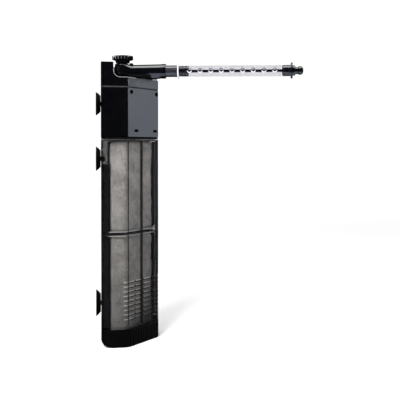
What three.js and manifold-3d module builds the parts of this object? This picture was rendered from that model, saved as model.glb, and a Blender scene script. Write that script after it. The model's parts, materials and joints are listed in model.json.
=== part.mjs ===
// Corner-mounted internal aquarium filter, in millimetres, +Z up.
// The origin is the centre of the base's flat underside. The two flat wall sides carry the suction
// cups and face -X and +Y, the narrow front face looks along -Y, and a 45 degree chamfered front
// panel joins it to the narrow side face that looks along +X.
import * as THREE from 'three';
import { mergeVertices } from 'three/addons/utils/BufferGeometryUtils.js';
import Module from 'manifold-3d';

const wasm = await Module();
wasm.setup();

// ---- driving dimensions ----
const half = 40.5;               // half the side of the square plan
const faceWidth = 36.4;          // width of each narrow face beside the chamfered panel
const panelAt = faceWidth / Math.SQRT2;                  // distance of the panel from the axis
const panelHalf = (2 * half - faceWidth) / Math.SQRT2;   // half the panel's width
const gap = 0.3;                 // clearance between neighbouring pieces

const baseTop = 24.6;
const plugLow = 14;              // underside of the canister's plug, which stands in the base
const plugFloor = 16;
const canisterTop = 283.5;
const neckTop = 298;
const housingLow = 286;
const housingTop = 353.7;
const coverLow = 354.3;
const rimTop = 366.8;
const blockTop = 387.2;
const canisterWall = 2.2;
const housingWall = 2.5;
const neckInset = 2.9;
const mouthInset = 4.9;

const slotRows = 9;
const slotTop = 88.7;
const slotPitch = 6.31;
const slotHeight = 2;
const slotReach = 6;             // how far a slot runs past the panel's edges onto the narrow faces

const swivelX = -9.6;
const swivelY = 10;
const barYaw = -12;              // degrees about +Z, from the line along the back pane
const barZ = 379.8;
const barRadius = 11;
const barBore = 8;
const barStart = 80.8;
const barEnd = 238;
const jetCount = 9;
const jetFirst = 95.9;
const jetPitch = 14.9;
const jetRadius = 1.9;

const rotorU = 8;                // rotor axis, measured from the plan's centre towards the panel
const rotorV = -14;              // and along the panel
const cupProjection = 7;
const cupHeights = { upper: 333, middle: 256, lower: 53.6 };
const cupLips = { upper: 16.8, middle: 17.4, lower: 19 };
const stemRadius = 3.2;
const screws = [{ name: 'left', v: -24.5 }, { name: 'right', v: 27.8 }];
const screwZ = 347;

// ---- solids ----
function solid(geometry) {
  const bare = geometry.index ? geometry.toNonIndexed() : geometry.clone();
  bare.deleteAttribute('normal');
  bare.deleteAttribute('uv');
  const merged = mergeVertices(bare, 1e-4);
  const points = merged.attributes.position.array;
  const source = merged.index.array;
  const faces = [];
  let volume = 0;
  for (let i = 0; i < source.length; i += 3) {
    const [a, b, c] = [source[i], source[i + 1], source[i + 2]];
    if (a === b || b === c || c === a) continue;
    faces.push([a, b, c]);
    const [p, q, r] = [a, b, c].map((k) => new THREE.Vector3().fromArray(points, 3 * k));
    volume += p.dot(q.cross(r));
  }
  const turned = volume < 0 ? faces.map(([a, b, c]) => [a, c, b]) : faces;
  const triVerts = new Uint32Array(turned.flat());
  const mesh = new wasm.Mesh({ numProp: 3, vertProperties: new Float32Array(points), triVerts });
  return new wasm.Manifold(mesh);
}

const join = (...solids) => solids.reduce((sum, next) => sum.add(next));
const cut = (body, ...tools) => tools.reduce((rest, tool) => rest.subtract(tool), body);

// A box from its lowest to its highest corner.
function block(low, high) {
  const size = high.map((value, i) => value - low[i]);
  const middle = high.map((value, i) => (value + low[i]) / 2);
  return solid(new THREE.BoxGeometry(...size).translate(...middle));
}

// A solid of revolution about +Z; each profile point is [radius, height].
function turned(profile, segments = 16) {
  const points = profile.map(([r, z]) => new THREE.Vector2(r, z));
  return solid(new THREE.LatheGeometry(points, segments).rotateX(Math.PI / 2));
}

const rod = (radius, low, high, segments = 16) =>
  turned([[0, low], [radius, low], [radius, high], [0, high]], segments);

const pipe = (inner, outer, low, high, segments = 16) =>
  turned([[inner, low], [outer, low], [outer, high], [inner, high], [inner, low]], segments);

const prism = (outline, low, high) =>
  solid(new THREE.ExtrudeGeometry(new THREE.Shape(outline), { depth: high - low, bevelEnabled: false })
    .translate(0, 0, low));

// A ring of round section about +Z.
function oRing(radius, section, z) {
  const profile = [];
  for (let i = 0; i <= 6; i += 1) {
    const angle = (i / 6) * 2 * Math.PI;
    profile.push([radius + section * Math.cos(angle), z + section * Math.sin(angle)]);
  }
  profile[6] = profile[0];
  return turned(profile, 16);
}

// ---- the plan outline ----
// Five sides, anticlockwise: left wall, narrow front face, chamfered panel, narrow side face, back
// wall. Each is an outward direction in degrees and a distance from the axis.
const sideAngles = [180, 270, 315, 360, 450];
const sideDistances = [half, half, panelAt, half, half];

function cornerCentre(a, b, angleA, angleB) {
  const [ca, sa, cb, sb] = [Math.cos(angleA), Math.sin(angleA), Math.cos(angleB), Math.sin(angleB)];
  const det = ca * sb - sa * cb;
  return [(a * sb - b * sa) / det, (b * ca - a * cb) / det];
}

// radii[i] rounds the corner between side i and the side after it.
function outline(distances, radii, steps = 3) {
  const points = [];
  for (let i = 0; i < 5; i += 1) {
    const next = (i + 1) % 5;
    const from = THREE.MathUtils.degToRad(sideAngles[i]);
    const turn = THREE.MathUtils.degToRad((sideAngles[next] - sideAngles[i] + 360) % 360);
    const radius = radii[i];
    const [x, y] = cornerCentre(distances[i] - radius, distances[next] - radius, from, from + turn);
    for (let k = 0; k <= steps; k += 1) {
      const angle = from + (turn * k) / steps;
      points.push(new THREE.Vector2(x + radius * Math.cos(angle), y + radius * Math.sin(angle)));
    }
  }
  return points;
}

const headRadii = [2.5, 1.2, 1.2, 2.5, 4];
const canisterRadii = [8, 1.2, 1.2, 8, 8];
const baseRadii = [10, 14, 2, 10, 8];
const baseFillets = [11, 3, 0.8, 3, 11];

const inset = (amount, radii) =>
  outline(sideDistances.map((d) => d - amount), radii.map((r) => Math.max(r - amount, 0.5)));

// A closed skin through rings of the same count, with flat ends.
function loft(rings) {
  const positions = rings.flatMap(({ points, z }) => points.flatMap((p) => [p.x, p.y, z]));
  const count = rings[0].points.length;
  const index = [];
  for (let j = 0; j + 1 < rings.length; j += 1) {
    for (let i = 0; i < count; i += 1) {
      const a = j * count + i;
      const b = j * count + ((i + 1) % count);
      index.push(a, b, b + count, a, b + count, a + count);
    }
  }
  const top = (rings.length - 1) * count;
  for (let i = 1; i + 1 < count; i += 1) {
    index.push(0, i + 1, i, top, top + i, top + i + 1);
  }
  const geometry = new THREE.BufferGeometry();
  geometry.setAttribute('position', new THREE.Float32BufferAttribute(positions, 3));
  geometry.setIndex(index);
  return solid(geometry);
}

// ---- placing ----
// Diagonal frame: u runs out towards the panel and v along it. Drawn as x and y, then turned.
const onDiagonal = (body) => body.rotate([0, 0, -45]);
const atRotor = (body) => onDiagonal(body.translate([rotorU, rotorV, 0]));
const atSwivel = (body) => body.rotate([0, 0, barYaw]).translate([swivelX, swivelY, 0]);
// A body turned about +Z, laid along the bar: its height becomes distance from the swivel.
const alongBar = (body) => atSwivel(body.rotate([0, 90, 0]).translate([0, 0, barZ]));
// A body turned about +Z, laid so that its height runs into the left wall, or into the back wall.
const intoLeftWall = (body, z) => body.rotate([0, 90, 0]).translate([-half - cupProjection, 0, z]);
const intoBackWall = (body, z) =>
  body.rotate([90, 0, 0]).translate([0, half + cupProjection, z]);

// ---- base ----
function base() {
  const rings = [0, 0.25, 0.8, 1.7, 3, 5, 7.6, 11, baseTop - gap].map((z) => {
    const pulled = baseFillets.map((r) => (z < r ? r - Math.sqrt(r * r - (r - z) ** 2) : 0));
    return { points: outline(sideDistances.map((d, i) => d - pulled[i]), baseRadii), z };
  });
  const cavity = join(
    prism(inset(6.4, baseRadii), 3, 8),
    prism(inset(neckInset - gap, baseRadii), 7, baseTop),
  );
  const grooves = [];
  const pitch = 5.5;
  for (let v = -5 * pitch; v <= 5 * pitch; v += pitch) {
    grooves.push(onDiagonal(block([panelAt - 1, v - 1.2, 1.8], [panelAt + 2, v + 1.2, 21.4])));
  }
  return cut(loft(rings), cavity, ...grooves);
}

// ---- canister ----
function slotCutters() {
  const bars = [-17, 0, 16.2];
  const edges = [-panelHalf - 0.4, ...bars.flatMap((v) => [v - 1, v + 1]), panelHalf + 0.4];
  const deep = canisterWall + 1.2;
  const cutters = [];
  for (let row = 0; row < slotRows; row += 1) {
    const middle = slotTop - row * slotPitch;
    const [low, high] = [middle - slotHeight / 2, middle + slotHeight / 2];
    for (let i = 0; i < edges.length; i += 2) {
      cutters.push(onDiagonal(block([panelAt - deep, edges[i], low], [panelAt + 2, edges[i + 1], high])));
    }
    const corner = faceWidth - half;
    cutters.push(block([corner - slotReach, -half - 1, low], [corner + 0.6, deep - half, high]));
    cutters.push(block([half - deep, -corner - 0.6, low], [half + 1, -corner + slotReach, high]));
  }
  return cutters;
}

function canister() {
  const shell = join(
    prism(inset(0, canisterRadii), baseTop, canisterTop),
    prism(inset(neckInset, canisterRadii), baseTop, neckTop),
    prism(inset(neckInset, baseRadii), plugLow, baseTop + 1),
  );
  const body = cut(
    shell,
    prism(inset(canisterWall, canisterRadii), baseTop + 2, canisterTop - 2),
    prism(inset(mouthInset, canisterRadii), canisterTop - 3, neckTop + 1),
    prism(inset(mouthInset, canisterRadii), plugFloor, baseTop + 3),
    ...slotCutters(),
    ...['middle', 'lower'].flatMap((level) => wallHoles(cupHeights[level])),
  );
  const web = onDiagonal(block([19.7, -0.7, baseTop + 1], [panelAt - 1, 0.7, canisterTop - 1]));
  return join(body, web);
}

function wallHoles(z) {
  const hole = rod(stemRadius + gap, cupProjection - 1, cupProjection + 4, 14);
  return [intoLeftWall(hole, z), intoBackWall(hole, z)];
}

const canisterSeal = () => cut(
  prism(inset(0.5, headRadii.map((r, i) => Math.max(r, canisterRadii[i]))), 283.8, 285.7),
  prism(inset(neckInset - gap, canisterRadii), 283, 287),
);

// ---- filter media ----
const baskets = {
  lower: { floorLow: 16.9, wallLow: 16.9, wallHigh: 150.4, flangeLow: 27.2, postHigh: 150.4, rimLow: 150.2 },
  upper: { floorLow: 155.8, wallLow: 152.2, wallHigh: 252, flangeLow: 157.3, postHigh: 280, rimLow: null },
};
const mediaRadii = [2, 2, 2, 2, 2];
const mediaOutline = (wall, front, panel) => outline([wall, front, panel, front, wall], mediaRadii);

// A window-barred floor and two walls along the panes, each with a folded flange.
function basket({ floorLow, wallLow, wallHigh, flangeLow, postHigh, rimLow }) {
  const floorHigh = floorLow + 1.5;
  const plan = mediaOutline(31.1, 34.6, 19.3);
  const inner = mediaOutline(28.9, 32.2, 17);
  const windows = [];
  for (const x of [-19, -3, 13]) {
    for (const y of [-9, 7, 21]) {
      windows.push(block([x - 5, y - 5, floorLow - 1], [x + 5, y + 5, floorHigh + 1]));
    }
  }
  const pieces = [
    cut(prism(plan, floorLow, floorHigh), ...windows),
    block([-31.1, -34.6, wallLow], [-29.3, 31.1, wallHigh]),
    block([-31.1, 29.3, wallLow], [34.6, 31.1, wallHigh]),
    block([-37.7, -34.6, flangeLow], [-29.3, -33, wallHigh - 3]),
    block([32.6, 29.3, flangeLow], [37.7, 31.1, postHigh]),
  ];
  if (rimLow) {
    pieces.push(cut(prism(plan, rimLow, rimLow + 1.5), prism(inner, rimLow - 1, rimLow + 3)));
  }
  return join(...pieces);
}

const wool = (low, high) => prism(mediaOutline(28.6, 31.9, 16.7), low, high);

// ---- pump housing ----
function pumpHousing() {
  const deck = [302, 305];
  const shell = cut(
    prism(inset(0, headRadii), housingLow, housingTop),
    prism(inset(housingWall, headRadii), housingLow - 1, deck[0]),
    prism(inset(housingWall, headRadii), deck[1], housingTop + 1),
  );
  const windows = [-14.9, 24.6].map((v) =>
    onDiagonal(block([panelAt - 4, v - 3.7, 293], [panelAt + 1, v + 3.7, 296.4])));
  const screwHoles = screws.flatMap(({ v }) => [
    ontoPanel(rod(1.7, -12, 1, 16), v),
    ontoPanel(rod(3.1, -1.5, 1, 16), v),
  ]);
  return cut(
    shell,
    rod(7.7, deck[0] - 1, deck[1] + 1).translate([swivelX, swivelY, 0]),
    atRotor(rod(9.2, deck[0] - 1, deck[1] + 1)),
    ...windows,
    ...screwHoles,
    ...wallHoles(cupHeights.upper),
  );
}

// A body turned about +Z, laid so that its height runs out of the panel at one screw.
const ontoPanel = (body, v) => onDiagonal(body.rotate([0, 90, 0]).translate([panelAt, v, screwZ]));

function coverScrew(v) {
  const shank = turned([[0, -10], [1.2, -9.2], [1.4, -1.2], [2.7, -1.2], [2.7, -0.4], [0, -0.4]], 16);
  const cross = join(block([-0.35, -1.6, -1.1], [0.35, 1.6, 0]), block([-1.6, -0.35, -1.1], [1.6, 0.35, 0]));
  return ontoPanel(cut(shank, cross), v);
}

// ---- motor ----
const motor = { low: [-5.8, -30], high: [21.8, 30], bottom: 305.3, top: 340 };
const wellOuter = 8.6;
const wellInner = 7.4;

function roundedBox(low, high, radius, z0, z1) {
  const shape = new THREE.Shape();
  shape.absarc(high[0] - radius, high[1] - radius, radius, 0, Math.PI / 2);
  shape.absarc(low[0] + radius, high[1] - radius, radius, Math.PI / 2, Math.PI);
  shape.absarc(low[0] + radius, low[1] + radius, radius, Math.PI, 1.5 * Math.PI);
  shape.absarc(high[0] - radius, low[1] + radius, radius, 1.5 * Math.PI, 2 * Math.PI);
  return prism(shape.getPoints(4), z0, z1);
}

function motorHousing() {
  const { low, high, bottom, top } = motor;
  const inside = [low.map((value) => value + 2), high.map((value) => value - 2)];
  const cup = cut(roundedBox(low, high, 4, bottom, top), roundedBox(...inside, 2, bottom + 2.2, top + 1));
  const well = rod(wellOuter, bottom, 339).translate([rotorU, rotorV, 0]);
  const bore = rod(wellInner, bottom - 1, 336.8).translate([rotorU, rotorV, 0]);
  const bushSeat = pipe(3.3, 4.6, 334, 337.2).translate([rotorU, rotorV, 0]);
  return onDiagonal(join(cut(join(cup, well), bore), bushSeat));
}

const motorLid = () => onDiagonal(roundedBox(motor.low, motor.high, 4, motor.top + gap, motor.top + 2.2));

function statorCore() {
  const stack = block([-3.4, -26, 311], [19.4, 24, 333]);
  return onDiagonal(cut(
    stack,
    block([0.8, -3.5, 310], [15.2, 17, 334]),
    block([6.5, -27, 310], [9.5, -21, 334]),
    block([6.5, -7, 310], [9.5, -3, 334]),
    rod(wellOuter + gap, 310, 334).translate([rotorU, rotorV, 0]),
  ));
}

const statorCoil = () => onDiagonal(cut(
  block([1.2, 13.4, 308], [14.8, 27.6, 336]),
  block([0, 16.7, 310.7], [16, 24.3, 333.3]),
));

const rotorMagnet = () => atRotor(pipe(1.5, 6.9, 308, 332));
const rotorShaft = () => atRotor(rod(1.2, 288.6, 336.3, 16));
const bushUpper = () => atRotor(pipe(1.5, 3, 334.2, 336.4, 20));
const bushLower = () => atRotor(pipe(1.5, 2.2, 288.5, 291, 20));

function impeller() {
  const blades = [];
  for (let i = 0; i < 6; i += 1) {
    blades.push(block([2.4, -0.6, 292], [8.4, 0.6, 297.5]).rotate([0, 0, 60 * i]));
  }
  const disc = rod(8.5, 297, 298.5);
  const stem = rod(5, 298, 307.7, 20);
  const hub = rod(3, 292, 298, 20);
  return atRotor(cut(join(disc, stem, hub, ...blades), rod(1.5, 290, 309, 16)));
}

// ---- pump chamber, duct and riser ----
function pumpChamber() {
  const volute = rod(11.7, 288.5, 301.7).translate([rotorU, rotorV, 0]);
  const riserAt = [(swivelX - swivelY) / Math.SQRT2, (swivelX + swivelY) / Math.SQRT2, 0];
  const reach = Math.hypot(riserAt[0] - rotorU, riserAt[1] - rotorV);
  const heading = THREE.MathUtils.radToDeg(Math.atan2(riserAt[1] - rotorV, riserAt[0] - rotorU));
  const towards = (body) => body.rotate([0, 0, heading]).translate([rotorU, rotorV, 0]);
  const duct = towards(block([0, -5, 288.5], [reach, 5, 300]));
  const riser = rod(7.2, 288.5, 358.4).translate(riserAt);
  const inside = join(
    rod(10.2, 287, 299.8).translate([rotorU, rotorV, 0]),
    rod(7.9, 299, 303).translate([rotorU, rotorV, 0]),
    towards(block([5, -3.5, 290.5], [reach, 3.5, 298])),
    rod(5.7, 290.5, 360).translate(riserAt),
  );
  return onDiagonal(cut(join(volute, duct, riser), inside));
}

function intakeCover() {
  const spoke = block([2, -0.8, 286.6], [7.5, 0.8, 288.2]);
  const spokes = [0, 120, 240].map((angle) => spoke.rotate([0, 0, angle]));
  const hub = cut(rod(3.8, 286.6, 290.8, 20), rod(2.5, 288.2, 292, 20));
  return atRotor(join(pipe(6.6, 11.7, 286.6, 288.2), hub, ...spokes));
}

// ---- head cover ----
const blockInner = 23.5;         // distance of the raised block's inner edges from the axis
const coveRadius = 9;

function recess() {
  const edge = blockInner - coveRadius;
  const coveZ = rimTop + coveRadius;
  const far = half + 5;
  const high = blockTop + 5;
  const spanX = new THREE.CylinderGeometry(coveRadius, coveRadius, far + edge, 24);
  const spanY = spanX.clone();
  spanX.rotateZ(Math.PI / 2).translate((far - edge) / 2, edge, coveZ);
  spanY.translate(-edge, (edge - far) / 2, coveZ);
  return join(
    block([-edge, -far, rimTop], [far, edge, high]),
    block([-edge, -far, coveZ], [far, blockInner, high]),
    block([-blockInner, -far, coveZ], [far, edge, high]),
    solid(spanX),
    solid(spanY),
    solid(new THREE.SphereGeometry(coveRadius, 24, 12).rotateX(Math.PI / 2).translate(-edge, edge, coveZ)),
    rod(coveRadius, coveZ, high, 24).translate([-edge, edge, 0]),
  );
}

function headCover() {
  const ceiling = rimTop - 3;
  const shell = cut(prism(inset(0, headRadii), coverLow, blockTop), recess());
  const wallSide = blockInner + housingWall;
  const cavity = prism(inset(housingWall, headRadii), coverLow - 1, ceiling);
  const blockCavity = cut(
    prism(inset(housingWall, headRadii), ceiling - 1, blockTop - housingWall),
    block([-wallSide, -half, 350], [half, wallSide, 390]),
  );
  const lining = join(
    prism(inset(neckInset, headRadii), 350, coverLow),
    prism(inset(housingWall - 0.2, headRadii), coverLow, ceiling),
  );
  const skirt = cut(lining, prism(inset(neckInset + 1.9, headRadii), 349, ceiling));
  const lugs = [
    onDiagonal(block([13.5, -27.5, 343], [panelAt - neckInset, -21.5, ceiling + 1])),
    onDiagonal(block([13.5, 25.2, 343], [panelAt - neckInset, 29.2, ceiling + 1])),
  ];
  const collar = rod(10.2, 359, 369.9).translate([swivelX, swivelY, 0]);
  const swivelBore = rod(8.3, 350, 380).translate([swivelX, swivelY, 0]);
  const glandHole = rod(5, 380, 390).translate([-31.5, 31.5, 0]);
  return cut(
    join(cut(shell, cavity, blockCavity), skirt, ...lugs, collar),
    swivelBore,
    glandHole,
    ...screws.map(({ v }) => ontoPanel(rod(1.7, -12, 1, 16), v)),
  );
}

const cableGland = () =>
  turned([[3.3, 381], [4.7, 381], [4.7, 387.5], [6.4, 387.5], [5.6, 389], [3.3, 389], [3.3, 381]], 20)
    .translate([-31.5, 31.5, 0]);

// ---- outlet elbow, flow valve and knob ----
function outletElbow() {
  const hub = turned([[0, 374.3], [7.6, 374.3], [10, 375.2], [11.2, 377.4], [11.2, 387.8], [10.2, 390],
    [7.6, 391.2], [0, 391.2]], 20);
  const spigot = rod(7.7, 359, 375);
  const arm = turned([[0, 0], [9.2, 0], [9.3, 13], [9.8, 30], [10, 56.5], [10.5, 56.5], [10.5, 61.5],
    [8.2, 61.5], [8.2, 78.6], [0, 78.6]], 20).rotate([0, 90, 0]).translate([0, 0, barZ]);
  const keelShape = [[12, 375], [24, 370.5], [38.6, 367.8], [47, 368.6], [56.5, 370.4],
    [56.5, 378], [12, 378]];
  const keel = solid(new THREE.ExtrudeGeometry(
    new THREE.Shape(keelShape.map(([x, z]) => new THREE.Vector2(x, z))),
    { depth: 11, bevelEnabled: false },
  ).translate(0, 0, -5.5).rotateX(Math.PI / 2));
  const tab = block([8.6, -2.6, 388.6], [15, 2.6, 391.5]);
  return atSwivel(cut(
    join(hub, spigot, arm, keel, tab),
    rod(5, 358, 380),
    rod(6, 372, 389.3),
    rod(3.5, 388, 393, 20),
    rod(5.4, 390, 393, 20),
    rod(5.6, 0, 60).rotate([0, 90, 0]).translate([0, 0, barZ]),
    rod(4.6, 50, 80).rotate([0, 90, 0]).translate([0, 0, barZ]),
    pipe(6.3, 9, 366.6, 369.4),
  ));
}

const elbowRing = () => atSwivel(oRing(7.3, 0.7, 368));
const knobRing = () => atSwivel(oRing(4.3, 0.5, 390.9));

function flowValve() {
  const barrel = join(rod(5.7, 373, 389), rod(3.1, 388, 397.5, 20));
  const port = rod(4, 0, 12, 20).rotate([0, 90, 0]).translate([0, 0, barZ]);
  return atSwivel(cut(barrel, rod(4.4, 372, 386, 24), port));
}

function flowKnob() {
  const flutes = 20;
  const rim = [];
  for (let i = 0; i < flutes * 2; i += 1) {
    const angle = (i / (flutes * 2)) * 2 * Math.PI;
    const radius = i % 2 ? 15.1 : 14;
    rim.push(new THREE.Vector2(radius * Math.cos(angle), radius * Math.sin(angle)));
  }
  const skirt = turned([[0, 391.8], [10, 391.8], [10, 394.4], [14, 396.2], [14, 397], [0, 397]], 24);
  const dish = turned([[0, 400.7], [11, 400.7], [12.2, 402], [0, 402]], 24);
  return atSwivel(cut(join(skirt, prism(rim, 396.2, 401.6)), dish, rod(3.4, 390, 398, 20)));
}

// ---- spray bar ----
const barSleeve = () => alongBar(turned([[8.5, 61.8], [barRadius, 61.8], [barRadius, 80.3], [4.6, 80.3],
  [4.6, 78.9], [8.5, 78.9], [8.5, 61.8]]));

function barCoupling() {
  const body = turned([[3, 72], [4.3, 72], [4.3, 80.6], [7, 80.6], [7, 84.8], [7.7, 85.6], [7, 86.6],
    [7, 89], [7.7, 90], [7, 91], [7, 93.8], [3, 93.8], [3, 72]], 16);
  const notches = [0, 45, 90, 135].map((angle) =>
    cut(block([-9, -0.9, 80], [9, 0.9, 82.6]).rotate([0, 0, angle]), rod(5.4, 79, 84)));
  const vane = block([-1.5, -0.4, 93], [1.5, 0.4, barEnd - 13]);
  const foot = block([-1.5, -4, 92.8], [1.5, 4, 93.8]);
  return alongBar(join(cut(body, ...notches), vane, foot));
}

function sprayBar() {
  const jets = [];
  for (let i = 0; i < jetCount; i += 1) {
    const jet = rod(jetRadius, 4, 14, 8).rotate([90, 0, 0]);
    jets.push(atSwivel(jet.translate([jetFirst + i * jetPitch, 0, barZ])));
  }
  return cut(alongBar(pipe(barBore, barRadius, barStart, barEnd, 24)), ...jets);
}

const endPlug = () => alongBar(turned([[0, 226.1], [7.2, 226.1], [7.7, 227.3], [7.7, 238.3], [11.3, 238.3],
  [11.3, 240.4], [7.2, 240.4], [7.2, 243.9], [5.5, 243.9], [4.9, 247.8], [6.1, 249.4], [6.1, 251.8],
  [5, 254], [3, 255.5], [0, 255.5]]));

// ---- suction cups ----
function cup(lip) {
  const neck = lip * 0.7;
  return turned([[0, 3], [9, 1.8], [lip - 1.8, 0], [lip, 0], [lip, 1], [neck, 6.2],
    [neck, cupProjection - gap], [stemRadius, cupProjection - gap], [stemRadius, 9.8], [4.7, 9.8],
    [2.4, 12.6], [0, 13]], 14);
}

// ---- materials ----
const colours = {
  blackPlastic: [0x08090d, 0.42], panelPlastic: [0x0b0c11, 0.4], smoke: [0x2b2a2c, 0.15],
  glossBlack: [0x040508, 0.18], clear: [0xdfe4f2, 0.08], rubber: [0x0a0a0b, 0.75],
  wool: [0xd9d8d2, 0.95], frame: [0x121215, 0.5], steel: [0x8a8c90, 0.35], copper: [0xa05a2c, 0.4],
  ferrite: [0x2d2d30, 0.6], ceramic: [0xe9e6dd, 0.3], impellerPlastic: [0xc9cbd0, 0.5],
};
const metals = ['steel', 'copper'];

function material(name) {
  const [colour, roughness] = colours[name];
  const metalness = metals.includes(name) ? 0.9 : 0;
  const clearness = { smoke: 0.55, clear: 0.4 }[name] ?? 1;
  return new THREE.MeshStandardMaterial({
    color: colour, roughness, metalness, transparent: clearness < 1, opacity: clearness,
  });
}

// ---- the assembly ----
const assembly = new THREE.Group();
assembly.name = 'internal_power_filter';

function addPiece(name, body, materialName) {
  const { vertProperties, triVerts, numProp } = body.getMesh();
  const points = [];
  for (let i = 0; i < vertProperties.length; i += numProp) {
    points.push(vertProperties[i], vertProperties[i + 1], vertProperties[i + 2]);
  }
  const geometry = new THREE.BufferGeometry();
  geometry.setAttribute('position', new THREE.Float32BufferAttribute(points, 3));
  geometry.setIndex(Array.from(triVerts));
  geometry.computeVertexNormals();
  const mesh = new THREE.Mesh(geometry, material(materialName));
  mesh.name = name;
  assembly.add(mesh);
}

addPiece('base', base(), 'blackPlastic');
addPiece('canister', canister(), 'smoke');
addPiece('canister_seal', canisterSeal(), 'rubber');
addPiece('lower_basket', basket(baskets.lower), 'frame');
addPiece('upper_basket', basket(baskets.upper), 'frame');
addPiece('lower_wool', wool(18.8, 149.6), 'wool');
addPiece('upper_wool', wool(157.7, 280), 'wool');

addPiece('pump_housing', pumpHousing(), 'panelPlastic');
addPiece('head_cover', headCover(), 'panelPlastic');
for (const { name, v } of screws) addPiece(`cover_screw_${name}`, coverScrew(v), 'steel');
addPiece('cable_gland', cableGland(), 'rubber');

addPiece('motor_housing', motorHousing(), 'blackPlastic');
addPiece('motor_lid', motorLid(), 'blackPlastic');
addPiece('stator_core', statorCore(), 'steel');
addPiece('stator_coil', statorCoil(), 'copper');
addPiece('rotor_magnet', rotorMagnet(), 'ferrite');
addPiece('rotor_shaft', rotorShaft(), 'ceramic');
addPiece('shaft_bush_upper', bushUpper(), 'rubber');
addPiece('shaft_bush_lower', bushLower(), 'rubber');
addPiece('impeller', impeller(), 'impellerPlastic');
addPiece('pump_chamber', pumpChamber(), 'blackPlastic');
addPiece('intake_cover', intakeCover(), 'blackPlastic');

addPiece('outlet_elbow', outletElbow(), 'glossBlack');
addPiece('elbow_o_ring', elbowRing(), 'rubber');
addPiece('flow_valve', flowValve(), 'blackPlastic');
addPiece('knob_o_ring', knobRing(), 'rubber');
addPiece('flow_knob', flowKnob(), 'glossBlack');
addPiece('bar_sleeve', barSleeve(), 'clear');
addPiece('bar_coupling', barCoupling(), 'glossBlack');
addPiece('spray_bar', sprayBar(), 'clear');
addPiece('end_plug', endPlug(), 'glossBlack');

for (const level of ['upper', 'middle', 'lower']) {
  addPiece(`left_cup_${level}`, intoLeftWall(cup(cupLips[level]), cupHeights[level]), 'rubber');
  addPiece(`back_cup_${level}`, intoBackWall(cup(cupLips[level]), cupHeights[level]), 'rubber');
}

export default assembly;
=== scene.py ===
"""The looks of a corner-mounted internal aquarium filter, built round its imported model. Metres, Z up."""
import json
import math

import bmesh
import bpy
from mathutils import Matrix, Vector, noise

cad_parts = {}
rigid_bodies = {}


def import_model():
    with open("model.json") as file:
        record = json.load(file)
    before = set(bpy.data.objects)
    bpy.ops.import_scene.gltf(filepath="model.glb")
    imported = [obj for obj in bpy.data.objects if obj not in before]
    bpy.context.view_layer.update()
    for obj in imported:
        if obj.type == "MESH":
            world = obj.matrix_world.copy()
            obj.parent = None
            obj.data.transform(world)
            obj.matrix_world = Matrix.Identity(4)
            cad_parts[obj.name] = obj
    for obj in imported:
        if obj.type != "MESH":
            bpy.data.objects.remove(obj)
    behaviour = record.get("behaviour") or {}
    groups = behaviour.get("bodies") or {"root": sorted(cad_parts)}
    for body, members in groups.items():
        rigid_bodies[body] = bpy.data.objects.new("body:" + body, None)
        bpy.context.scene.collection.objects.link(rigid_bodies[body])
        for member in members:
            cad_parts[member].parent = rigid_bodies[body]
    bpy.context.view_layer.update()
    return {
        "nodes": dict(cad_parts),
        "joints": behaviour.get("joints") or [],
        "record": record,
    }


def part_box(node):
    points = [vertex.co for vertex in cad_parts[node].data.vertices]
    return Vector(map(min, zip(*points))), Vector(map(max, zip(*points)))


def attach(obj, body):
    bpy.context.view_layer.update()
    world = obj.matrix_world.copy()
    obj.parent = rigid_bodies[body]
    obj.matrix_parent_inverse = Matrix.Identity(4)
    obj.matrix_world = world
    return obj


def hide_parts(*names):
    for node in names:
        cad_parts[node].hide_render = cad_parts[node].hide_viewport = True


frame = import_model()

MM = 0.001


# ---- what the frame says ----
def low(node):
    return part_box(node)[0]


def high(node):
    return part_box(node)[1]


def middle(node):
    return (low(node) + high(node)) / 2


JOINTS = {joint["name"]: joint for joint in frame["joints"]}
HALF = high("pump_housing").x                       # half the side of the square plan
FACE_WIDTH = 36.4 * MM                              # each narrow face beside the chamfered panel
PANEL_AT = FACE_WIDTH / math.sqrt(2)                # the panel's distance from the axis
PANEL_HALF = (2 * HALF - FACE_WIDTH) / math.sqrt(2)
SWIVEL = Vector(JOINTS["outlet_swivel"]["pos_m"][:2] + [0])
BAR_AXIS = Vector(JOINTS["spray_bar_turn"]["axis"])
BAR_YAW = math.atan2(BAR_AXIS.y, BAR_AXIS.x)
BAR_Z = JOINTS["spray_bar_turn"]["pos_m"][2]
HOUSING_LOW, HOUSING_TOP = low("pump_housing").z, high("pump_housing").z
BLOCK_TOP = high("head_cover").z
COVER_LOW = 354.3 * MM                              # the seam between housing and cover
RIM_TOP = 366.8 * MM                                # the low deck of the cover
RECESS_AT = 23.5 * MM                               # from the axis to the block's inner faces
COVE = 9 * MM                                       # the round between deck and block
BASE_TOP = high("base").z
SHOULDER = HOUSING_LOW - 2.5 * MM                   # where the canister's wall steps in to its neck
NECK_TOP = high("canister").z


# ---- camera, light and floor ----
def add_camera():
    data = bpy.data.cameras.new("camera")
    data.lens, data.sensor_width = 59.15, 36
    data.shift_x, data.shift_y = -0.0124, -0.1112
    camera = bpy.data.objects.new("camera", data)
    bpy.context.scene.collection.objects.link(camera)
    camera.location = (-HALF, -0.934, 0.2717)
    camera.rotation_euler = (math.radians(90 - 0.7), 0, math.radians(-9))
    bpy.context.scene.camera = camera


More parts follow.
